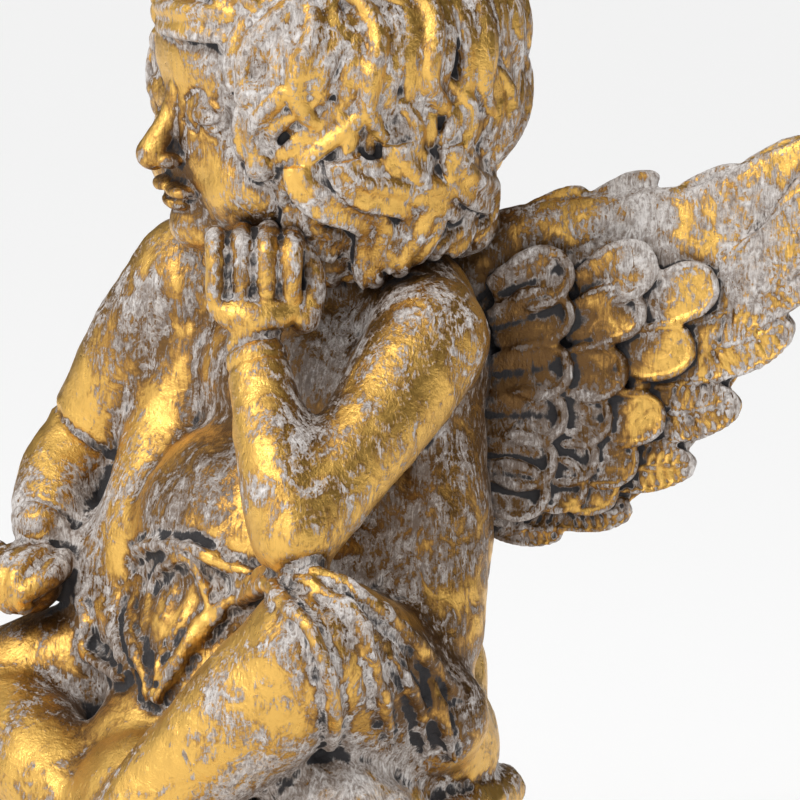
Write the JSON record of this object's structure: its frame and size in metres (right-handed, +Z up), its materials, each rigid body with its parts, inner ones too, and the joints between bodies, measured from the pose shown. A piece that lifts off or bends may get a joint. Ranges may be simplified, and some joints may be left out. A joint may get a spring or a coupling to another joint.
{
  "type": "angel figurine",
  "caption": "Seated winged cherub figurine with crossed shins, cheek on a fist, curly hair and a draped seat on a low rock base.",
  "frame": {"origin": "middle of the flat underside of the base", "axes": "+X towards the figure's left, -Y towards its front, +Z up"},
  "size_m": [0.113, 0.1163, 0.1532],
  "materials": {
    "antique_gold": "cast resin with a metallic gold coat, a pale grey wash in the hollows and charcoal in the deepest cuts"
  },
  "bodies": {
    "root": {"angel_figurine": "antique_gold"}
  },
  "joints": []
}
